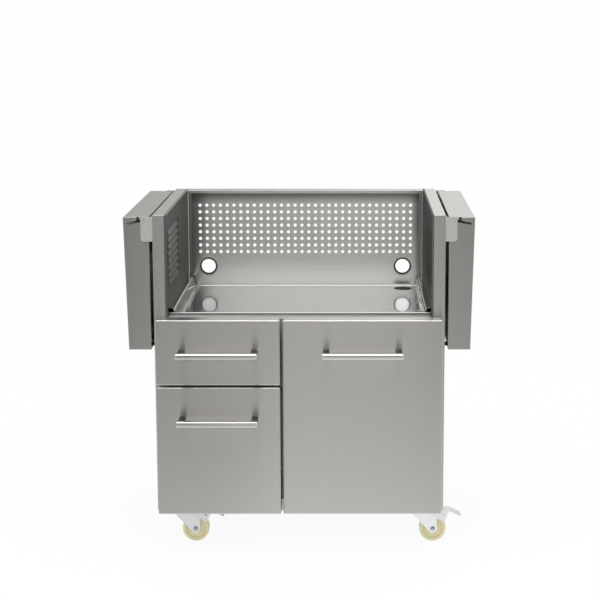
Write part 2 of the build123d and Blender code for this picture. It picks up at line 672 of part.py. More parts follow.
SHELF_Y0 = FRONT_Y + PIN_HEAD_T + BRACKET_T + SHELF_PLAY
SHELF_Y1 = BACK_Y - PIN_HEAD_T - BRACKET_T - SHELF_PLAY
SHELF_TOP = CABINET_TOP - SHELF_DROP
SHELF_RIM = SIDE_X + SHELF_GAP
PIN_X = SIDE_X + PIN_OFFSET
PIN_Z = SHELF_TOP - PIN_DROP


def shelf_slot():
    """Slanted slot for the pivot pin, with its entry from the hinge edge."""
    width = PIN_D + 2 * PIN_CLEAR
    far_x = PIN_X + SLOT_RUN
    far_z = PIN_Z - SLOT_FALL
    tilt = math.degrees(math.atan2(SLOT_FALL, SLOT_RUN))
    run = math.hypot(SLOT_RUN, SLOT_FALL)
    slot = Pos((PIN_X + far_x) / 2, (PIN_Z + far_z) / 2) * Rot(0, 0, -tilt) * SlotCenterToCenter(run, width)
    entry_x = PIN_X + SLOT_ENTRY
    entry_z = PIN_Z - SLOT_FALL * SLOT_ENTRY / SLOT_RUN
    slot += Pos(entry_x, (entry_z + SHELF_TOP + CUT) / 2) * Rectangle(width, SHELF_TOP + CUT - entry_z)
    return Plane.XZ * slot


def shelf():
    """Right shelf, hanging: plate outside, skirts all round and a return along the rim."""
    tray = prism_y(shelf_section(0), SHELF_Y0, SHELF_Y1)
    rim_edges = tray.edges().filter_by_position(Axis.X, SHELF_RIM - CUT, SHELF_RIM + CUT)
    tray = fillet(tray.edges() - rim_edges, BEND_R)
    tray -= prism_y(shelf_section(SHEET), SHELF_Y0 + SHEET, SHELF_Y1 - SHEET)
    tray -= block(SHELF_RIM - CUT, SHELF_RIM + SHEET + CUT, SHELF_Y0 + SHELF_RETURN, SHELF_Y1 - SHELF_RETURN,
                  SHELF_TOP - SHELF_W + SHELF_RETURN, SHELF_TOP - SHELF_RETURN)
    slot = shelf_slot()
    tray -= Pos(0, SHELF_Y0 + SLOT_DEPTH, 0) * extrude(slot, amount=SLOT_DEPTH + CUT)
    tray -= Pos(0, SHELF_Y1 + CUT, 0) * extrude(slot, amount=SLOT_DEPTH + CUT)
    return tray


def shelf_stiffener():
    """Channel across the inside of the right shelf's plate."""
    lean = (SKIRT_HINGE - SKIRT_OUTER) / (SHELF_W - 2 * SHEET)
    mid = SHELF_TOP - SHELF_W / 2

    def seat(z):
        return SHELF_RIM + SKIRT_HINGE - SHEET - lean * (SHELF_TOP - SHEET - z)

    z0 = mid - STIFFENER_W / 2
    z1 = mid + STIFFENER_W / 2
    outline = [(seat(z0), z0), (seat(z0) - STIFFENER_H, z0), (seat(z1) - STIFFENER_H, z1), (seat(z1), z1),
               (seat(z1 - SHEET), z1 - SHEET), (seat(z1) - STIFFENER_H + SHEET, z1 - SHEET),
               (seat(z0) - STIFFENER_H + SHEET, z0 + SHEET), (seat(z0 + SHEET), z0 + SHEET)]
    return prism_y(outline, SHELF_Y0 + STIFFENER_END, SHELF_Y1 - STIFFENER_END)


def shelf_bracket(y, inward):
    """Bracket on the right side panel: a leg on the panel and a plate beside the shelf's end."""
    z1 = SHELF_TOP + BRACKET_RISE
    z0 = z1 - BRACKET_H
    plate_y = y + inward * BRACKET_T
    plate = block(SIDE_X, SIDE_X + BRACKET_W, min(y, plate_y), max(y, plate_y), z0, z1)
    corner = plate.edges().filter_by(Axis.Y).filter_by_position(Axis.X, SIDE_X + CUT, SIDE_X + BRACKET_W)
    plate = fillet(corner.sort_by(Axis.Z)[0], BRACKET_CORNER)
    leg_y = y + inward * BRACKET_LEG
    plate += block(SIDE_X, SIDE_X + BRACKET_T, min(y, leg_y), max(y, leg_y), z0, z1)
    return plate - rod_y(PIN_D + PIN_CLEAR, y - 2 * BRACKET_T, y + 2 * BRACKET_T, PIN_X, PIN_Z)


def shelf_pin(y, inward):
    """Headed pivot pin through a bracket and the shelf's end."""
    tip = y + inward * (BRACKET_T + SHELF_PLAY + SHEET + PIN_TAIL)
    head = y - inward * PIN_HEAD_T
    pin = rod_y(PIN_D, min(y, tip), max(y, tip), PIN_X, PIN_Z)
    return pin + rod_y(PIN_HEAD_D, min(y, head), max(y, head), PIN_X, PIN_Z)


def shelf_bumper(y):
    """Rubber button on the right side panel, where the hanging shelf comes to rest."""
    z = SHELF_TOP - SHELF_W + BUMPER_RISE
    button = Rot(0, 90, 0) * Cylinder(BUMPER_D / 2, SHELF_GAP - BUMPER_CLEAR)
    button = fillet(button.edges().filter_by(GeomType.CIRCLE).group_by(Axis.X)[-1], BUMPER_EDGE)
    return Pos(SIDE_X + (SHELF_GAP - BUMPER_CLEAR) / 2, y, z) * button


# Cabinet
node("right_side_panel", side_panel())
node("left_side_panel", mirrored(side_panel()))
node("right_inner_wall", inner_wall())
node("left_inner_wall", mirrored(inner_wall()))
node("back_top_rail", back_top_rail())
node("upper_back_panel", upper_back_panel())
node("hose_grommets", *both_sides(hose_grommet()))
node("rear_corner_angles", *both_sides(rear_corner_angle()))
node("grill_tray", grill_tray())
node("support_rails", *both_sides(support_rail()))
screws = [rail_screw(x, y) for x, y in rail_screw_places()]
node("rail_screws", *screws, *[mirrored(screw) for screw in screws])
node("front_apron", front_apron())
node("centre_divider", centre_divider())
node("lower_back_panel", lower_back_panel())
node("base_pan", base_pan())

# Drawers, each with its front, box, handle and a pair of slides
left_x0 = -SIDE_X + FRONT_INSET
left_x1 = SPLIT_X - FRONT_GAP / 2
right_x0 = SPLIT_X + FRONT_GAP / 2
right_x1 = SIDE_X - FRONT_INSET
upper_z = FRONT_TOP - UPPER_FRONT_H
lower_top = upper_z - FRONT_GAP
left_bay = (-INNER_X, SPLIT_X - DIVIDER_T / 2)
right_bay = (SPLIT_X + DIVIDER_T / 2, INNER_X)
box_y1 = FRONT_Y + BOX_D
drawers = [
    ("upper", left_x0, left_x1, upper_z, FRONT_TOP, left_bay, upper_z + BOX_LIFT, UPPER_BOX_H),
    ("lower", left_x0, left_x1, FRONT_BOTTOM, lower_top, left_bay, BASE_TOP + BOX_LIFT, LOWER_BOX_H),
    ("tank", right_x0, right_x1, FRONT_BOTTOM, FRONT_TOP, right_bay, BASE_TOP + BOX_LIFT, TANK_TRAY_H),
]
slide_outers = []
for name, x0, x1, z0, z1, bay, box_z, box_h in drawers:
    box_x0 = bay[0] + SLIDE_T
    box_x1 = bay[1] - SLIDE_T
    if name == "tank":
        liner = block(x0 + LINER_INSET, x1 - LINER_INSET, DRAWER_Y, DRAWER_Y + SHEET,
                      z0 + LINER_INSET, z1 - LINER_INSET)
        node("tank_front_liner", liner)
        lap = LINER_INSET + WINDOW_LAP
        window = (x0 + lap, x1 - lap, z0 + lap, z1 - lap)
        tray = open_box(box_x0, box_x1, DRAWER_Y + SHEET, box_y1, box_z, box_z + box_h)
        ring_x = (box_x0 + box_x1) / 2
        ring_y = (DRAWER_Y + box_y1) / 2
        ring_z0 = box_z + SHEET
        ring_z1 = box_z + TANK_RING_H
        ring = rod_z(TANK_RING_D + 2 * TANK_RING_T, ring_z0, ring_z1, ring_x, ring_y)
        ring -= rod_z(TANK_RING_D, ring_z0 - CUT, ring_z1 + CUT, ring_x, ring_y)
        node("tank_tray", tray)
        node("tank_ring", ring)
    else:
        window = (box_x0 + WINDOW_LAP, box_x1 - WINDOW_LAP, box_z + WINDOW_LAP, box_z + box_h - WINDOW_LAP)
        node(name + "_drawer_box", open_box(box_x0, box_x1, DRAWER_Y, box_y1, box_z, box_z + box_h))
    node(name + "_drawer_front", hollow_front(x0, x1, z0, z1, window))
    bar, posts = handle((x0 + x1) / 2, z1)
    node(name + "_handle_bar", bar)
    node(name + "_handle_posts", *posts)
    slide_z = box_z + SLIDE_RISE + SLIDE_H / 2
    near = slide_members(bay[0], 1, slide_z)
    far = slide_members(bay[1], -1, slide_z)
    slide_outers += [near[0], far[0]]
    node(name + "_slide_middles", near[1], far[1])
    node(name + "_slide_inners", near[2], far[2])
node("slide_outers", *slide_outers)

# Side shelves
bracket_front = FRONT_Y + PIN_HEAD_T
bracket_rear = BACK_Y - PIN_HEAD_T
brackets = [shelf_bracket(bracket_front, 1), shelf_bracket(bracket_rear, -1)]
pins = [shelf_pin(bracket_front, 1), shelf_pin(bracket_rear, -1)]
bumpers = [shelf_bumper(SHELF_Y0 + BUMPER_END), shelf_bumper(SHELF_Y1 - BUMPER_END)]
for name, pieces in (("shelf_brackets", brackets), ("shelf_pins", pins), ("shelf_bumpers", bumpers)):
    node(name, *pieces, *[mirrored(piece) for piece in pieces])
node("right_shelf", shelf())
node("left_shelf", mirrored(shelf()))
node("right_shelf_stiffener", shelf_stiffener())
node("left_shelf_stiffener", mirrored(shelf_stiffener()))

# Casters
node("base_channels", base_channel(FRONT_Y + CASTER_SET), base_channel(BACK_Y - CASTER_SET))
node("caster_plates", *[caster_plate(x, y) for name, x, y in caster_places()])
node("caster_bolts", *[caster_bolt(bx, by) for name, x, y in caster_places() for bx, by in bolt_places(x, y)])
for name, x, y in caster_places():
    braked = name.startswith("front")
    node(name + "_fork", Pos(x, y, 0) * caster_fork(braked))
    node(name + "_wheel", Pos(x, y, 0) * caster_wheel())
    node(name + "_axle", Pos(x, y, 0) * wheel_axle())
    if braked:
        node(name + "_brake_pedal", Pos(x, y, 0) * brake_pedal())

os.makedirs("parts", exist_ok=True)
for name, shape in NODES.items():
    export_step(shape, "parts/" + name + ".step")
print(len(NODES), "nodes, cabinet front at Y", FRONT_Y, "back at Y", BACK_Y)
print("pivot pin at X", PIN_X, "Z", PIN_Z, "drawer face at Y", FACE_Y, "bar at Y", BAR_Y)
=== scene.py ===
# %% [markdown]
# A stainless steel cart for a built-in grill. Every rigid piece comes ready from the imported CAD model,
# which is loaded here as a fixed frame in metres. Blender gives the pieces their finishes, turns the small
# fasteners in finer detail than the CAD model, and sets up a plain studio with the camera of the
# photograph.

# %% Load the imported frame
import json
import math

import bmesh
import bpy
from mathutils import Matrix, Vector


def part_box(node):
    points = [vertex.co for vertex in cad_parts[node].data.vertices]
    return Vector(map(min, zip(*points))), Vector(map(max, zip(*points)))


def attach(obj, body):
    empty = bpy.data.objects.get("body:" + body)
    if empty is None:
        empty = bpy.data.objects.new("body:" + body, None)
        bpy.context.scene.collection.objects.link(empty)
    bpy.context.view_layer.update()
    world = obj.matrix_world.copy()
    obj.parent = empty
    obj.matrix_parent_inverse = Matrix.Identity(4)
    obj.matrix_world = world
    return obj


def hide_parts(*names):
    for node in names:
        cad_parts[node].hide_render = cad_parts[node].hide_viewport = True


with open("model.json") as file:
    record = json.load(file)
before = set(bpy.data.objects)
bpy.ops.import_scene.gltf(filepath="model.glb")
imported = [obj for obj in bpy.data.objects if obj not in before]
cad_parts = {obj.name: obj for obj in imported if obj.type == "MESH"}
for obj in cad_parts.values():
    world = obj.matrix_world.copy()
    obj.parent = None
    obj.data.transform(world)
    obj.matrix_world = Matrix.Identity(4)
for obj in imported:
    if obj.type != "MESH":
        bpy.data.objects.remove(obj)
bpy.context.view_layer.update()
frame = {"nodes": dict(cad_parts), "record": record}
nodes = frame["nodes"]
MM = 0.001

# %% [markdown]
# The camera repeats the photograph's view. Its place, tilt and focal length were fitted to corners of the
# cart whose real places are known. The photograph was cropped off centre, so the lens is shifted a little:
# that keeps the uprights nearly parallel, which a stronger tilt of the camera would not.

# %% Camera
PHOTO_SIDE = 600
FOCAL_PX = 1450.0
SENSOR_MM = 36.0
OPTICAL_CENTRE_PX = (352.5, 222.0)
CAMERA_PLACE = Vector((0.1461, -4.1337, 1.5325))
CAMERA_TILT = 0.1538  # radians below the horizon

camera_data = bpy.data.cameras.new("photo_camera")
camera_data.sensor_width = SENSOR_MM
camera_data.lens = FOCAL_PX * SENSOR_MM / PHOTO_SIDE
camera_data.shift_x = (PHOTO_SIDE / 2 - OPTICAL_CENTRE_PX[0]) / PHOTO_SIDE
camera_data.shift_y = (OPTICAL_CENTRE_PX[1] - PHOTO_SIDE / 2) / PHOTO_SIDE
camera = bpy.data.objects.new("photo_camera", camera_data)
camera.location = CAMERA_PLACE
camera.rotation_euler = (math.pi / 2 - CAMERA_TILT, 0, 0)
bpy.context.scene.collection.objects.link(camera)
bpy.context.scene.camera = camera
bpy.context.scene.view_settings.view_transform = "Standard"
print("lens", round(camera_data.lens, 1), "mm")

# %% [markdown]
# Materials are built from nodes. Colours are written as the sRGB hex values that one would pick on a
# screen. Blender's shaders work in linear light, so one function converts them. A second small function
# adds any node with its settings and links, which keeps the materials below short enough to read.


# %% Helpers for materials
def linear(hex_colour):
    """An sRGB hex colour as linear red, green, blue and alpha."""
    channels = [int(hex_colour[i:i + 2], 16) / 255 for i in (1, 3, 5)]
    return [c / 12.92 if c <= 0.04045 else ((c + 0.055) / 1.055) ** 2.4 for c in channels] + [1.0]


def add(tree, kind, inputs=None, **settings):
    """Adds a node. An input that is a socket gets a link, and any other value is set on the node."""
    made = tree.nodes.new(kind)
    for name, value in settings.items():
        setattr(made, name, value)
    for name, value in (inputs or {}).items():
        if isinstance(value, bpy.types.NodeSocket):
            tree.links.new(value, made.inputs[name])
        else:
            made.inputs[name].default_value = value
    return made


def new_material(name):
    """An empty material with its node tree."""
    material = bpy.data.materials.new(name)
    material.use_nodes = True
    material.node_tree.nodes.clear()
    return material, material.node_tree


print("a middle grey on the screen is", round(linear("#808080")[0], 3), "in linear light")

# %% [markdown]
# Stainless sheet is brushed by a belt that drags fine scratches along it. A picture of scratches could be
# wrapped round each piece, but noise that is stretched along the grain needs no picture and fits every
# piece. On the upright faces the grain runs level, along X or Y, and on the level ones it runs along X.
# Real scratches are about a tenth of a millimetre wide and would not show, so they are drawn 0.8 mm wide.
# Cloths leave large, faint wipe marks over them.

# %% Grain of the steel
GRAIN_WIDTH = 0.8 * MM
GRAIN_LENGTH = 300 * MM
WIPE_SIZE = 220 * MM
WIPE_SHARE = 0.35
FAINTEST, STRONGEST = 0.3, 0.7  # noise values between which the marks run
LEVEL_FACE = 0.7  # a face counts as level when its normal points this far up or down


def steel_grain(tree):
    """The place of a point, its place along and across the grain, and how level its face is."""
    place = add(tree, "ShaderNodeTexCoord")
    xyz = add(tree, "ShaderNodeSeparateXYZ", {0: place.outputs["Object"]})
    facing = add(tree, "ShaderNodeSeparateXYZ", {0: place.outputs["Normal"]})
    upward = add(tree, "ShaderNodeMath", {0: facing.outputs["Z"]}, operation="ABSOLUTE")
    level = add(tree, "ShaderNodeMath", {0: upward.outputs[0], 1: LEVEL_FACE}, operation="GREATER_THAN")
    across = add(tree, "ShaderNodeMix", {0: level.outputs[0], 2: xyz.outputs["Z"], 3: xyz.outputs["Y"]})
    along = add(tree, "ShaderNodeMath", {0: xyz.outputs["X"], 1: xyz.outputs["Y"]})
    grain = add(tree, "ShaderNodeCombineXYZ", {"X": along.outputs[0], "Y": across.outputs[0]})
    return place.outputs["Object"], grain.outputs[0], upward.outputs[0]


def steel_marks(tree, place, grain):
    """Noise for the scratches alone, and for the scratches and wipe marks together."""
    stretch = add(tree, "ShaderNodeMapping",
                  {"Vector": grain, "Scale": (1 / GRAIN_LENGTH, 1 / GRAIN_WIDTH, 1)})
    scratches = add(tree, "ShaderNodeTexNoise",
                    {"Vector": stretch.outputs[0], "Scale": 1.0, "Detail": 3.0}, noise_dimensions="2D")
    wipes = add(tree, "ShaderNodeTexNoise", {"Vector": place, "Scale": 1 / WIPE_SIZE, "Detail": 2.0})
    both = add(tree, "ShaderNodeMix", {0: WIPE_SHARE, 2: scratches.outputs[0], 3: wipes.outputs[0]})
    marks = add(tree, "ShaderNodeMapRange", {0: both.outputs[0], 1: FAINTEST, 2: STRONGEST})
    return scratches.outputs[0], marks.outputs[0]


print("scratches are drawn", round(GRAIN_WIDTH / MM, 1), "mm wide")

# %% [markdown]
# The perforated back panel lies below a rail that keeps the light from above off its upper edge. A
# rendered metal only mirrors and has no soft shade of its own. The Ambient Occlusion node helps: it sends
# short rays from each point and tells how many of them come free. Here its rays are turned upwards, so
# that only what hangs over a point counts, and not the tray below the panel.

# %% Shade below an overhang
SHADE_REACH = 40 * MM
SKYWARDS = (0, 0, 1.3)  # added to the direction of the face, whose length is 1
COVERED, OPEN = 0.35, 0.8  # shares of free rays between which the shade fades
SKY_RAYS = 16


def shaded(tree, tint, shade):
    """A tint that turns to the colour of the shade where something hangs over the surface."""
    facing = add(tree, "ShaderNodeNewGeometry").outputs["Normal"]
    lifted = add(tree, "ShaderNodeVectorMath", {0: facing, 1: SKYWARDS}, operation="ADD")
    upwards = add(tree, "ShaderNodeVectorMath", {0: lifted.outputs[0]}, operation="NORMALIZE")
    sky = add(tree, "ShaderNodeAmbientOcclusion",
              {"Distance": SHADE_REACH, "Normal": upwards.outputs[0]}, samples=SKY_RAYS)
    free = add(tree, "ShaderNodeMapRange", {0: sky.outputs["AO"], 1: COVERED, 2: OPEN})
    return add(tree, "ShaderNodeMix", {0: free.outputs[0], 6: linear(shade), 7: tint.outputs[2]},
               data_type="RGBA")


print("shade reaches", round(SHADE_REACH / MM), "mm")

# %% [markdown]
# One function makes every steel finish, because they differ only in numbers. The marks change the colour,
# the roughness and the height a little. Across the scratches a reflection smears out, which Blender calls
# anisotropy: the grain is level, so light and dark things are drawn out upwards and downwards. The
# direction of the smear is a vector in the piece's own frame. It leans a little, so that it never points
# straight out of a level face.

# %% Steel shader
SMEAR = (0.02, 0.06, 1.0)
ROUGHNESS_SWING = 0.03
SCRATCH_DEPTH = 0.2 * MM
SCRATCH_STRENGTH = 0.004
RAISED_FACE = 0.3  # a face counts as raised when its normal points this far up or down


def steel(name, colour, roughness, smear=0.85, contrast=0.03, coat=0.0, edge=1.0, painted_top_light=None, shade=None):
    """A steel finish. Edge dims it at a grazing angle, and a painted highlight lightens non-upright faces.
    """
    material, tree = new_material(name)
    place, grain, upward = steel_grain(tree)
    scratches, marks = steel_marks(tree, place, grain)
    base = linear(colour)[:3]
    dark = [c * (1 - contrast) for c in base] + [1]
    light = [min(1, c * (1 + contrast)) for c in base] + [1]
    tint = add(tree, "ShaderNodeMix", {0: marks, 6: dark, 7: light}, data_type="RGBA")
    # Painted highlight: faces that look up or down take a lighter colour in place of the light they catch.
    if painted_top_light:
        raised = add(tree, "ShaderNodeMath", {0: upward, 1: RAISED_FACE}, operation="GREATER_THAN")
        tint = add(tree, "ShaderNodeMix", {0: raised.outputs[0], 6: tint.outputs[2], 7: linear(painted_top_light)},
                   data_type="RGBA")
    if shade:
        tint = shaded(tree, tint, shade)
    rough = add(tree, "ShaderNodeMapRange", {0: marks, 3: roughness * (1 - ROUGHNESS_SWING),
                                             4: roughness * (1 + ROUGHNESS_SWING)})
    height = add(tree, "ShaderNodeBump",
                 {"Strength": SCRATCH_STRENGTH, "Distance": SCRATCH_DEPTH, "Height": scratches})
    direction = add(tree, "ShaderNodeCombineXYZ", {"X": SMEAR[0], "Y": SMEAR[1], "Z": SMEAR[2]})
    drawn_out = add(tree, "ShaderNodeVectorTransform", {0: direction.outputs[0]}, vector_type="VECTOR",
                    convert_from="OBJECT", convert_to="WORLD")
    shader = add(tree, "ShaderNodeBsdfPrincipled", {
        "Base Color": tint.outputs[2], "Metallic": 1.0, "Roughness": rough.outputs[0], "Anisotropic": smear,
        "Normal": height.outputs[0], "Tangent": drawn_out.outputs[0], "Coat Weight": coat,
        "Specular Tint": (edge, edge, edge, 1)})
    add(tree, "ShaderNodeOutputMaterial", {"Surface": shader.outputs[0]})
    print("finish", name)
    return material


# %% [markdown]
# Stainless steel is a slightly warm grey. The sheets of the cart were brushed, blasted or polished, and
# that changes how sharp and how smeared their reflections are. The colours are matched to the photograph
# under the light of this studio.

# %% Stainless finishes
# Belt-brushed sheet: a soft sheen that draws handles and their light out into upright streaks.
brushed_stainless = steel("stainless_sheet_brushed", "#CFCDC9", 0.26, smear=1.0, contrast=0.014)
# The same sheet folded into drawer fronts: a painted highlight makes their top folds show as a pale line.
front_stainless = steel("stainless_front_brushed", "#CFCDC9", 0.26, smear=1.0, contrast=0.014,
                        painted_top_light="#EEECE8")
# Brushed sheet of the shelves: the same streaks in a slightly darker grey.
shelf_stainless = steel("stainless_shelf_brushed", "#C6C4C0", 0.26, smear=1.0, contrast=0.014)
# Finely brushed angles in the rear corners: light strips with clearer reflections.
liner_stainless = steel("stainless_liner_brushed", "#E4E2DE", 0.2)
# Finely brushed back panel: light, and darker in a soft band of painted shade below its rail.
panel_stainless = steel("stainless_panel_brushed", "#E8E6E2", 0.2, shade="#8E8C89")
# Blasted plate: matt and pale from every side, with no streaks.
bracket_stainless = steel("stainless_plate_blasted", "#F4F3F1", 0.7, smear=0.0)
# Dull inner wall: its middle grey, dark at a grazing angle as seen from the front, is painted shade.
dull_stainless = steel("stainless_wall_dull", "#858482", 0.42, edge=0.3)
# Dull wall with pressed louvres: the same painted shade, and its hoods, which look upwards, take a painted
# highlight.
louvred_stainless = steel("stainless_wall_louvred", "#858482", 0.42, edge=0.6, painted_top_light="#B4B3B0")
# Polished tray: a mirror with a trace of smear, under a clear coat with a sharper gloss.
polished_tray = steel("stainless_tray_polished", "#CFCFCE", 0.17, smear=0.3, coat=1.0)
# Polished bar and rail: bright lines of light along every edge.
polished_bar = steel("stainless_bar_polished", "#DEDCD8", 0.12, smear=0.0)
# Turned handle posts: darker than the bars that they carry, with a dull shine.
turned_post = steel("stainless_post_turned_dull", "#5E5D5B", 0.3, smear=0.0, contrast=0.05)

# %% [markdown]
# The casters are pressed from plain steel and plated with zinc against rust. Zinc is paler and colder than
# stainless steel. Large faces look almost white, and small bright fasteners mirror both the light floor
# and the dark underside of the cart.

# %% Zinc finishes
# Zinc-plated forks and plates: a pale, cold satin.
zinc_plate = steel("steel_zinc_plated", "#F8F9F9", 0.34, smear=0.0, contrast=0.04)
# Pressed brake pedals: the same plating, a little greyer at a grazing angle.
pressed_zinc = steel("steel_zinc_pressed", "#EDEFF0", 0.3, smear=0.0, contrast=0.04, edge=0.55)
# Bright zinc on bolts and screws: a small mirror with dark and light patches.
bright_zinc = steel("steel_zinc_bright", "#C4C7C8", 0.07, smear=0.0, contrast=0.05)

# %% [markdown]
# The wheels are moulded from cream nylon, a plastic with a soft sheen and a slightly cloudy colour. The
# grommets and bumpers are black rubber, which is duller. Both take two close colours, mixed by soft noise,
# and a fine skin from the mould. The grain of a real mould is a few tenths of a millimetre and is drawn
# coarser, at 1.2 mm.

# %% Nylon and rubber
SKIN_GRAIN = 1.2 * MM
SKIN_DEPTH = 0.1 * MM
SKIN_ROUGHNESS = 0.06


def moulded(name, colour, second, roughness, cloud, bump):
    """Plastic or rubber with clouded colour and a fine moulded skin."""
    material, tree = new_material(name)
    place = add(tree, "ShaderNodeTexCoord").outputs["Object"]
    clouds = add(tree, "ShaderNodeTexNoise", {"Vector": place, "Scale": 1 / cloud, "Detail": 4.0})
    skin = add(tree, "ShaderNodeTexNoise", {"Vector": place, "Scale": 1 / SKIN_GRAIN, "Detail": 2.0})
    tint = add(tree, "ShaderNodeMix", {0: clouds.outputs[0], 6: linear(colour), 7: linear(second)},
               data_type="RGBA")
    rough = add(tree, "ShaderNodeMapRange", {0: skin.outputs[0], 3: roughness - SKIN_ROUGHNESS,
                                             4: roughness + SKIN_ROUGHNESS})
    height = add(tree, "ShaderNodeBump",
                 {"Strength": bump, "Distance": SKIN_DEPTH, "Height": skin.outputs[0]})
    shader = add(tree, "ShaderNodeBsdfPrincipled", {
        "Base Color": tint.outputs[2], "Roughness": rough.outputs[0], "Normal": height.outputs[0]})
    add(tree, "ShaderNodeOutputMaterial", {"Surface": shader.outputs[0]})
    print("finish", name)
    return material


# Moulded nylon: a warm cream with a broad, soft highlight.
cream_nylon = moulded("nylon_wheel_moulded", "#CFC99F", "#DED8B4", roughness=0.42, cloud=14 * MM,
                      bump=0.15)
# Moulded rubber: nearly black, with hardly any shine.
black_rubber = moulded("rubber_moulded_black", "#141414", "#1E1E1D", roughness=0.65, cloud=8 * MM,
                       bump=0.3)

# %% [markdown]
# Each CAD piece takes the finish of its material slot in the record. Some pieces of the same steel look
# different in the photograph, because they were worked in another way or lie in another light. These get
# their own finish afterwards, by name.

# %% Finishes on the CAD pieces
SLOT_FINISHES = {
    "brushed_stainless": brushed_stainless,
    "polished_stainless": polished_tray,
    "satin_stainless_bar": polished_bar,
    "zinc_plated_steel": zinc_plate,
    "cream_nylon": cream_nylon,
    "black_rubber": black_rubber,
}
OWN_FINISHES = [
    (front_stainless, ["upper_drawer_front", "lower_drawer_front", "tank_drawer_front"]),
    (shelf_stainless, ["left_shelf", "right_shelf"]),
    (panel_stainless, ["upper_back_panel"]),
    (liner_stainless, ["rear_corner_angles"]),
    (bracket_stainless, ["shelf_brackets", "front_apron", "centre_divider"]),
    (dull_stainless, ["right_inner_wall"]),
    (louvred_stainless, ["left_inner_wall"]),
    (polished_bar, ["support_rails"]),
    (turned_post, ["upper_handle_posts", "lower_handle_posts", "tank_handle_posts"]),
    (pressed_zinc, ["front_left_brake_pedal", "front_right_brake_pedal"]),
]
for part in frame["record"]["subparts"]:
    piece = nodes[part["node"]]
    piece.data.materials.clear()
    piece.data.materials.append(SLOT_FINISHES[part["material_slot"]])
for finish, names in OWN_FINISHES:
    for name in names:
        nodes[name].data.materials[0] = finish
print("finishes on", len(nodes), "pieces")

# %% [markdown]
# Small fasteners are turned on a lathe, and so are these: a profile of radius and height is spun about its
# axis. A hexagon is milled afterwards from the round blank: every point that lies outside the hexagon is
# drawn in to its flats. What lies inside it stays round, so the head keeps its domed top.

# %% A lathe for fasteners
LATHE_STEPS = 48
MERGE_DISTANCE = 0.001 * MM
SOCKET_ZONE = 0.6  # points this near the axis, in widths of the socket, belong to the socket


def hexagon_reach(angle, flats):
    """How far a hexagon with that width across its flats reaches at an angle."""
    return flats / 2 / math.cos((angle % (math.pi / 3)) - math.pi / 6)


def turn(shape, profile, to_place, outside=None, socket=None):
    """Spins a profile of (radius, height) pairs in mm, mills hexagons and sets the piece in its place."""
    row = [shape.verts.new((radius * MM, 0, height * MM)) for radius, height in profile]
    edges = [shape.edges.new(pair) for pair in zip(row, row[1:])]
    older = set(shape.verts) - set(row)
    bmesh.ops.spin(shape, geom=row + edges, axis=(0, 0, 1), cent=(0, 0, 0), angle=2 * math.pi,
                   steps=LATHE_STEPS, use_merge=True)
    spun = [v for v in shape.verts if v not in older]
    bmesh.ops.remove_doubles(shape, verts=spun, dist=MERGE_DISTANCE)
    made = [v for v in shape.verts if v not in older]
    for v in made:
        reach = math.hypot(v.co.x, v.co.y)
        angle = math.atan2(v.co.y, v.co.x)
        if outside and reach > hexagon_reach(angle, outside * MM):
            v.co.xy *= hexagon_reach(angle, outside * MM) / reach
        if socket and 0 < reach < socket * SOCKET_ZONE * MM:
            v.co.xy *= hexagon_reach(angle, socket * MM) / (socket / 2 * MM)
    bmesh.ops.transform(shape, matrix=to_place, verts=made)


print("lathe with", LATHE_STEPS, "steps")

# %% [markdown]
# The turned shapes of a fastener become one mesh. Its faces are shaded smooth, and only the edges of the
# hexagons and rims stay sharp. Each piece rides on the body that it belongs to, so that it moves with its
# joint, and stands for the plainer CAD node in the render.

# %% Finished fasteners
SHARP_EDGE = math.radians(30)


def finished(name, shape, material, body, slot, *stands_for):
    """Makes the turned shapes one smooth-shaded piece that rides on a body."""
    bmesh.ops.recalc_face_normals(shape, faces=shape.faces)
    for face in shape.faces:
        face.smooth = True
    for edge in shape.edges:
        edge.smooth = edge.calc_face_angle(0) < SHARP_EDGE
    mesh = bpy.data.meshes.new(name)
    shape.to_mesh(mesh)
    shape.free()
    mesh.materials.append(material)
    piece = bpy.data.objects.new(name, mesh)
    bpy.context.scene.collection.objects.link(piece)
    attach(piece, body)
    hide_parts(*stands_for)
    print(name, len(mesh.polygons), "faces")


print("edges over", round(math.degrees(SHARP_EDGE)), "degrees stay sharp")

# %% [markdown]
# The wheels turn on hexagon bolts. The head carries a washer face and a domed top, and a lock nut with a
# rounded collar holds the far end, where two threads of the bolt stand proud. Each bolt lies along Y, from
# the front to the back of its CAD axle, so the lathe's axis is tipped forwards for the head and backwards
# for the nut.

# %% Axle bolts
HEAD = [(0, 5.2), (2.4, 5.07), (4.4, 4.485), (6.0, 3.38), (7.6, 1.69), (7.6, 0.9), (0, 0.9)]
WASHER = [(0, 0.9), (7.1, 0.9), (7.4, 0.6), (7.4, 0), (0, 0)]
COLLAR = [(0, 6.5), (4.4, 6.5), (5.2, 6.3), (5.6, 5.7), (5.7, 4.6), (0, 4.6)]
NUT = [(0, 4.8), (6.2, 4.8), (7.6, 4.0), (7.6, 1.0), (6.9, 0.5), (6.9, 0), (0, 0)]
HEAD_HEIGHT = 5.3
NUT_HEIGHT = 8.5
ACROSS_FLATS = 13
SHANK_RADIUS = 4
TIP_CHAMFER = 0.9
FORWARDS = Matrix.Rotation(math.pi / 2, 4, "X")
BACKWARDS = Matrix.Rotation(-math.pi / 2, 4, "X")

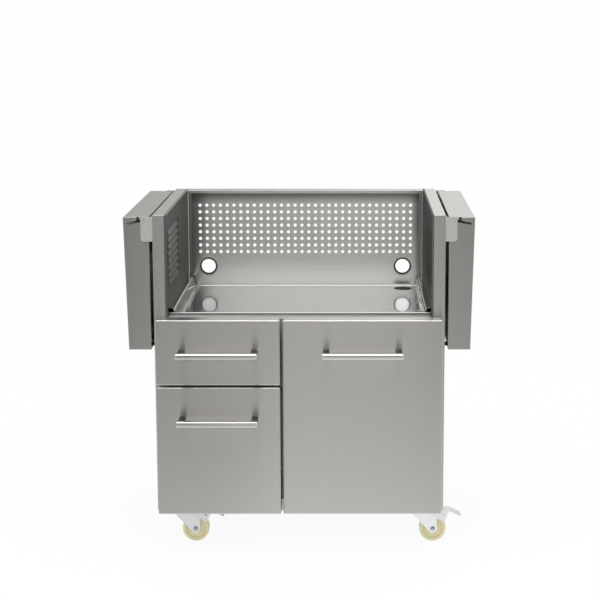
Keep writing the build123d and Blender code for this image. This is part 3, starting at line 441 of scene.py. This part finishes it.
for corner in ("front_left", "front_right", "rear_left", "rear_right"):
    low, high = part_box(corner + "_axle")
    middle = (Vector(low) + Vector(high)) / 2
    to_front = Matrix.Translation((middle.x, low[1] + HEAD_HEIGHT * MM, middle.z)) @ FORWARDS
    to_back = Matrix.Translation((middle.x, high[1] - NUT_HEIGHT * MM, middle.z)) @ BACKWARDS
    shank_foot = NUT_HEIGHT - ((high[1] - low[1]) / MM - HEAD_HEIGHT)
    shank = [(0, NUT_HEIGHT), (SHANK_RADIUS - TIP_CHAMFER, NUT_HEIGHT),
             (SHANK_RADIUS, NUT_HEIGHT - TIP_CHAMFER), (SHANK_RADIUS, shank_foot), (0, shank_foot)]
    bolt = bmesh.new()
    turn(bolt, WASHER, to_front)
    turn(bolt, HEAD, to_front, outside=ACROSS_FLATS)
    turn(bolt, NUT, to_back, outside=ACROSS_FLATS)
    turn(bolt, COLLAR, to_back)
    turn(bolt, shank, to_back)
    finished(corner + "_axle_bolt", bolt, bright_zinc, corner + "_caster", "zinc_plated_steel",
             corner + "_axle")

# %% [markdown]
# Button-head screws hold the support rails on the tray. Their heads are low domes with a hexagon socket,
# and the plain shank below goes through the rail and the tray. There are three along each rail: one at
# each end of the CAD node's box and one halfway.

# %% Rail screws
DOME = [(0, 0.7), (1.2, 0.9), (1.3, 2.3), (1.5, 2.4), (2.3, 2.25), (3.1, 1.85), (3.7, 1.2), (4, 0.4),
        (3.9, 0), (0, 0)]
DOME_RADIUS = 4 * MM
DOME_HEIGHT = 2.4 * MM
SCREW_SHANK = [(0, 0.1), (2, 0.1), (2, -7.2), (1.4, -8), (0, -8)]
SOCKET_FLATS = 2.6

low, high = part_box("rail_screws")
screws = bmesh.new()
for x in (low[0] + DOME_RADIUS, high[0] - DOME_RADIUS):
    for y in (low[1] + DOME_RADIUS, (low[1] + high[1]) / 2, high[1] - DOME_RADIUS):
        upright = Matrix.Translation((x, y, high[2] - DOME_HEIGHT))
        turn(screws, DOME, upright, socket=SOCKET_FLATS)
        turn(screws, SCREW_SHANK, upright)
finished("rail_button_screws", screws, bright_zinc, "cabinet", "zinc_plated_steel", "rail_screws")

# %% [markdown]
# The studio is a pale floor in a white surround. The floor has to look white without more light on the
# cart, so it glows where it is seen directly, and the rest of it stays matt paper that keeps a trace of
# the cart's shadow. The Light Path node tells the two apart: a ray from the camera, a mirror or glass sees
# the glow.


# %% Floor
def seen_directly(tree):
    """One where the camera, a mirror or glass looks, and zero for other light."""
    path = add(tree, "ShaderNodeLightPath")
    mirrored = add(tree, "ShaderNodeMath", {0: path.outputs["Is Camera Ray"],
                                            1: path.outputs["Is Glossy Ray"]}, operation="MAXIMUM")
    seen = add(tree, "ShaderNodeMath", {0: mirrored.outputs[0],
                                        1: path.outputs["Is Transmission Ray"]}, operation="MAXIMUM")
    return seen.outputs[0]


def sheet(name, corners, material, only_mirrored):
    """A flat stage sheet between four corners."""
    mesh = bpy.data.meshes.new(name)
    shape = bmesh.new()
    shape.faces.new([shape.verts.new(corner) for corner in corners])
    shape.to_mesh(mesh)
    shape.free()
    mesh.materials.append(material)
    laid = bpy.data.objects.new(name, mesh)
    bpy.context.scene.collection.objects.link(laid)
    laid.visible_camera = not only_mirrored
    laid.visible_diffuse = not only_mirrored
    laid.visible_shadow = not only_mirrored
    print("stage", name)


def level_corners(left, right, front, back, height):
    """The corners of a level sheet."""
    return [(left, front, height), (right, front, height), (right, back, height), (left, back, height)]


FLOOR_REACH = 300.0
FLOOR_GLOW = 0.9
WHITE = (1, 1, 1, 1)

# White paper: matt, with a soft shadow where the cart stands.
floor_paper, tree = new_material("floor_paper_white")
share = add(tree, "ShaderNodeMath", {0: seen_directly(tree), 1: FLOOR_GLOW}, operation="MULTIPLY")
matt = add(tree, "ShaderNodeBsdfDiffuse", {"Color": linear("#FAFAF8")})
glow = add(tree, "ShaderNodeEmission", {"Color": WHITE, "Strength": 1.0})
paper = add(tree, "ShaderNodeMixShader", {0: share.outputs[0], 1: matt.outputs[0], 2: glow.outputs[0]})
add(tree, "ShaderNodeOutputMaterial", {"Surface": paper.outputs[0]})
sheet("studio_floor", level_corners(-FLOOR_REACH, FLOOR_REACH, -FLOOR_REACH, FLOOR_REACH, 0), floor_paper,
      False)

# %% [markdown]
# Steel shows the room that it stands in, and in an all-white room it would look flat. Photographers put
# cards round a shiny thing to give it bands of light and dark, and so does this studio. The cards glow in
# graded greys, and only mirrors see them. A Color Ramp grades them across X and along one other axis, by
# the place in metres.

# %% Card paper
CARD_GLOW = 1.1


def graded(tree, value, stops):
    """A grey that follows a value in metres through (value, shade) stops."""
    low, high = stops[0][0], stops[-1][0]
    along = add(tree, "ShaderNodeMapRange", {0: value, 1: low, 2: high})
    ramp = add(tree, "ShaderNodeValToRGB", {0: along.outputs[0]})
    for place, _ in stops[1:-1]:
        ramp.color_ramp.elements.new((place - low) / (high - low))
    for element, (_, shade) in zip(ramp.color_ramp.elements, stops):
        element.color = (shade, shade, shade, 1)
    return ramp.outputs[0]


def card_paper(name, across, axis, along, strength=CARD_GLOW):
    """Paper that glows in greys graded across X and along another axis, as an evenly lit card looks."""
    material, tree = new_material(name)
    xyz = add(tree, "ShaderNodeSeparateXYZ", {0: add(tree, "ShaderNodeTexCoord").outputs["Object"]})
    grey = add(tree, "ShaderNodeMix", {0: 1.0, 6: graded(tree, xyz.outputs["X"], across),
                                       7: graded(tree, xyz.outputs[axis], along)},
               data_type="RGBA", blend_type="MULTIPLY")
    card_glow = add(tree, "ShaderNodeEmission", {"Color": grey.outputs[2], "Strength": strength})
    add(tree, "ShaderNodeOutputMaterial", {"Surface": card_glow.outputs[0]})
    material.cycles.emission_sampling = "NONE"
    print("card", name)
    return material


# %% [markdown]
# The upright fronts of the cart look down at the floor before it, so the front floor card sets most of
# their tones: light close to the cart, dark a few metres off, and dimmer to the left. The card behind the
# cart does the same for views from the other side.

# %% Floor cards
ROOM = 7.0
CARD_LIFT = 0.002
EVEN = [(-ROOM, 1.0), (ROOM, 1.0)]
FLOOR_ACROSS = [(-ROOM, 0.95), (-2.5, 0.95), (-1.5, 0.66), (-0.85, 0.64), (-0.6, 0.77), (-0.25, 0.83),
                (-0.05, 1.0), (0.6, 1.0), (0.78, 0.85), (1.5, 0.85), (2.5, 0.95), (ROOM, 0.95)]
FLOOR_BEFORE = [(-ROOM, 0.56), (-5.4, 0.64), (-4.6, 0.6), (-3.9, 0.42), (-2.9, 0.39), (-1.5, 0.6),
                (-0.65, 0.75), (-0.48, 0.81), (0, 0.83)]
FLOOR_BEHIND = [(0, 0.85), (0.7, 0.85), (1.5, 0.55), (2.6, 0.34), (4, 0.2), (ROOM, 0.16)]

before_paper = card_paper("card_floor_grey", FLOOR_ACROSS, "Y", FLOOR_BEFORE)
behind_paper = card_paper("card_floor_grey_back", EVEN, "Y", FLOOR_BEHIND)
sheet("floor_card_before", level_corners(-ROOM, ROOM, -ROOM, 0, CARD_LIFT), before_paper, True)
sheet("floor_card_behind", level_corners(-ROOM, ROOM, 0, ROOM, CARD_LIFT), behind_paper, True)

# %% [markdown]
# The walls are light up to a door's height and dark above. The front wall has two windows instead: the
# wide one lights the tray and the back panel, and the narrow one the front edge of the left side panel.
# The rear wall is dimmer on the left, so the tops of the left side panel and shelf come out darker than
# the right ones.

# %% Wall cards
WALL_TOP = 12.0
WALL_UP = [(0, 0.3), (0.9, 0.9), (1.3, 1.0), (2.4, 1.0), (3.2, 0.1), (9, 0.1), (WALL_TOP, 0.8)]
WINDOWS_ACROSS = [(-ROOM, 0.15), (-1.46, 0.15), (-1.4, 1.0), (-1.27, 1.0), (-1.2, 0.3), (-0.9, 0.9),
                  (0.6, 1.0), (0.85, 0.2), (ROOM, 0.15)]
WINDOWS_UP = [(0, 0.2), (1.2, 0.25), (1.6, 1.0), (2.9, 1.0), (3.4, 0.1), (9, 0.1), (WALL_TOP, 0.8)]
WINDOW_GLOW = 1.3
REAR_ACROSS = [(-ROOM, 0.61), (-0.7, 0.61), (0.3, 1.0), (ROOM, 1.0)]
REAR_UP = [(0, 1.0), (6, 1.0), (WALL_TOP, 0.6)]


def wall_corners(start, end):
    """The corners of a wall that stands on the floor from one point to another."""
    return [(*start, 0), (*end, 0), (*end, WALL_TOP), (*start, WALL_TOP)]


wall_paper = card_paper("card_wall_graded", EVEN, "Z", WALL_UP)
front_paper = card_paper("card_wall_window", WINDOWS_ACROSS, "Z", WINDOWS_UP, WINDOW_GLOW)
rear_paper = card_paper("card_wall_rear", REAR_ACROSS, "Z", REAR_UP)
sheet("front_wall", wall_corners((-ROOM, -ROOM), (ROOM, -ROOM)), front_paper, True)
sheet("left_wall", wall_corners((-ROOM, -ROOM), (-ROOM, ROOM)), wall_paper, True)
sheet("right_wall", wall_corners((ROOM, -ROOM), (ROOM, ROOM)), wall_paper, True)
sheet("rear_wall", wall_corners((-ROOM, ROOM), (ROOM, ROOM)), rear_paper, True)

# %% [markdown]
# The surround is the world's own light. It is white where it is seen, like the floor, and a little dimmer
# where it lights the cart.

# %% Surround
AMBIENT = 0.95

world = bpy.data.worlds.new("studio_surround")
bpy.context.scene.world = world
world.use_nodes = True
tree = world.node_tree
tree.nodes.clear()
ambient = add(tree, "ShaderNodeBackground", {"Color": WHITE, "Strength": AMBIENT})
white = add(tree, "ShaderNodeBackground", {"Color": WHITE, "Strength": 1.0})
both = add(tree, "ShaderNodeMixShader",
           {0: seen_directly(tree), 1: ambient.outputs[0], 2: white.outputs[0]})
add(tree, "ShaderNodeOutputWorld", {"Surface": both.outputs[0]})
print("surround at", AMBIENT)

# %% [markdown]
# Soft boxes do the rest. Small lamps would put hard glints on steel, and large ones give it the broad,
# soft highlights of a product photograph. One hangs overhead, and one stands in front and fills the shade
# under the cart. The fill is hidden from mirrors, because the steel would show its outline.


# %% Soft boxes
def soft_box(name, place, target, width, height, radiance, mirrored):
    """A rectangular lamp that looks from its place at its target."""
    lamp = bpy.data.lights.new(name, "AREA")
    lamp.shape = "RECTANGLE"
    lamp.size = width
    lamp.size_y = height
    lamp.energy = radiance * math.pi * width * height
    lit = bpy.data.objects.new(name, lamp)
    lit.location = place
    lit.rotation_euler = (Vector(target) - Vector(place)).to_track_quat("-Z", "Y").to_euler()
    lit.visible_camera = False
    lit.visible_glossy = mirrored
    bpy.context.scene.collection.objects.link(lit)
    print(name, round(lamp.energy, 1), "W")


soft_box("overhead_box", place=(0, -0.9, 2.9), target=(0, 0, 0.6), width=2.4, height=1.6, radiance=1.5,
         mirrored=True)
soft_box("front_fill", place=(0.8, -5.0, 1.4), target=(0, 0, 0.3), width=3.0, height=2.0, radiance=2.0,
         mirrored=False)
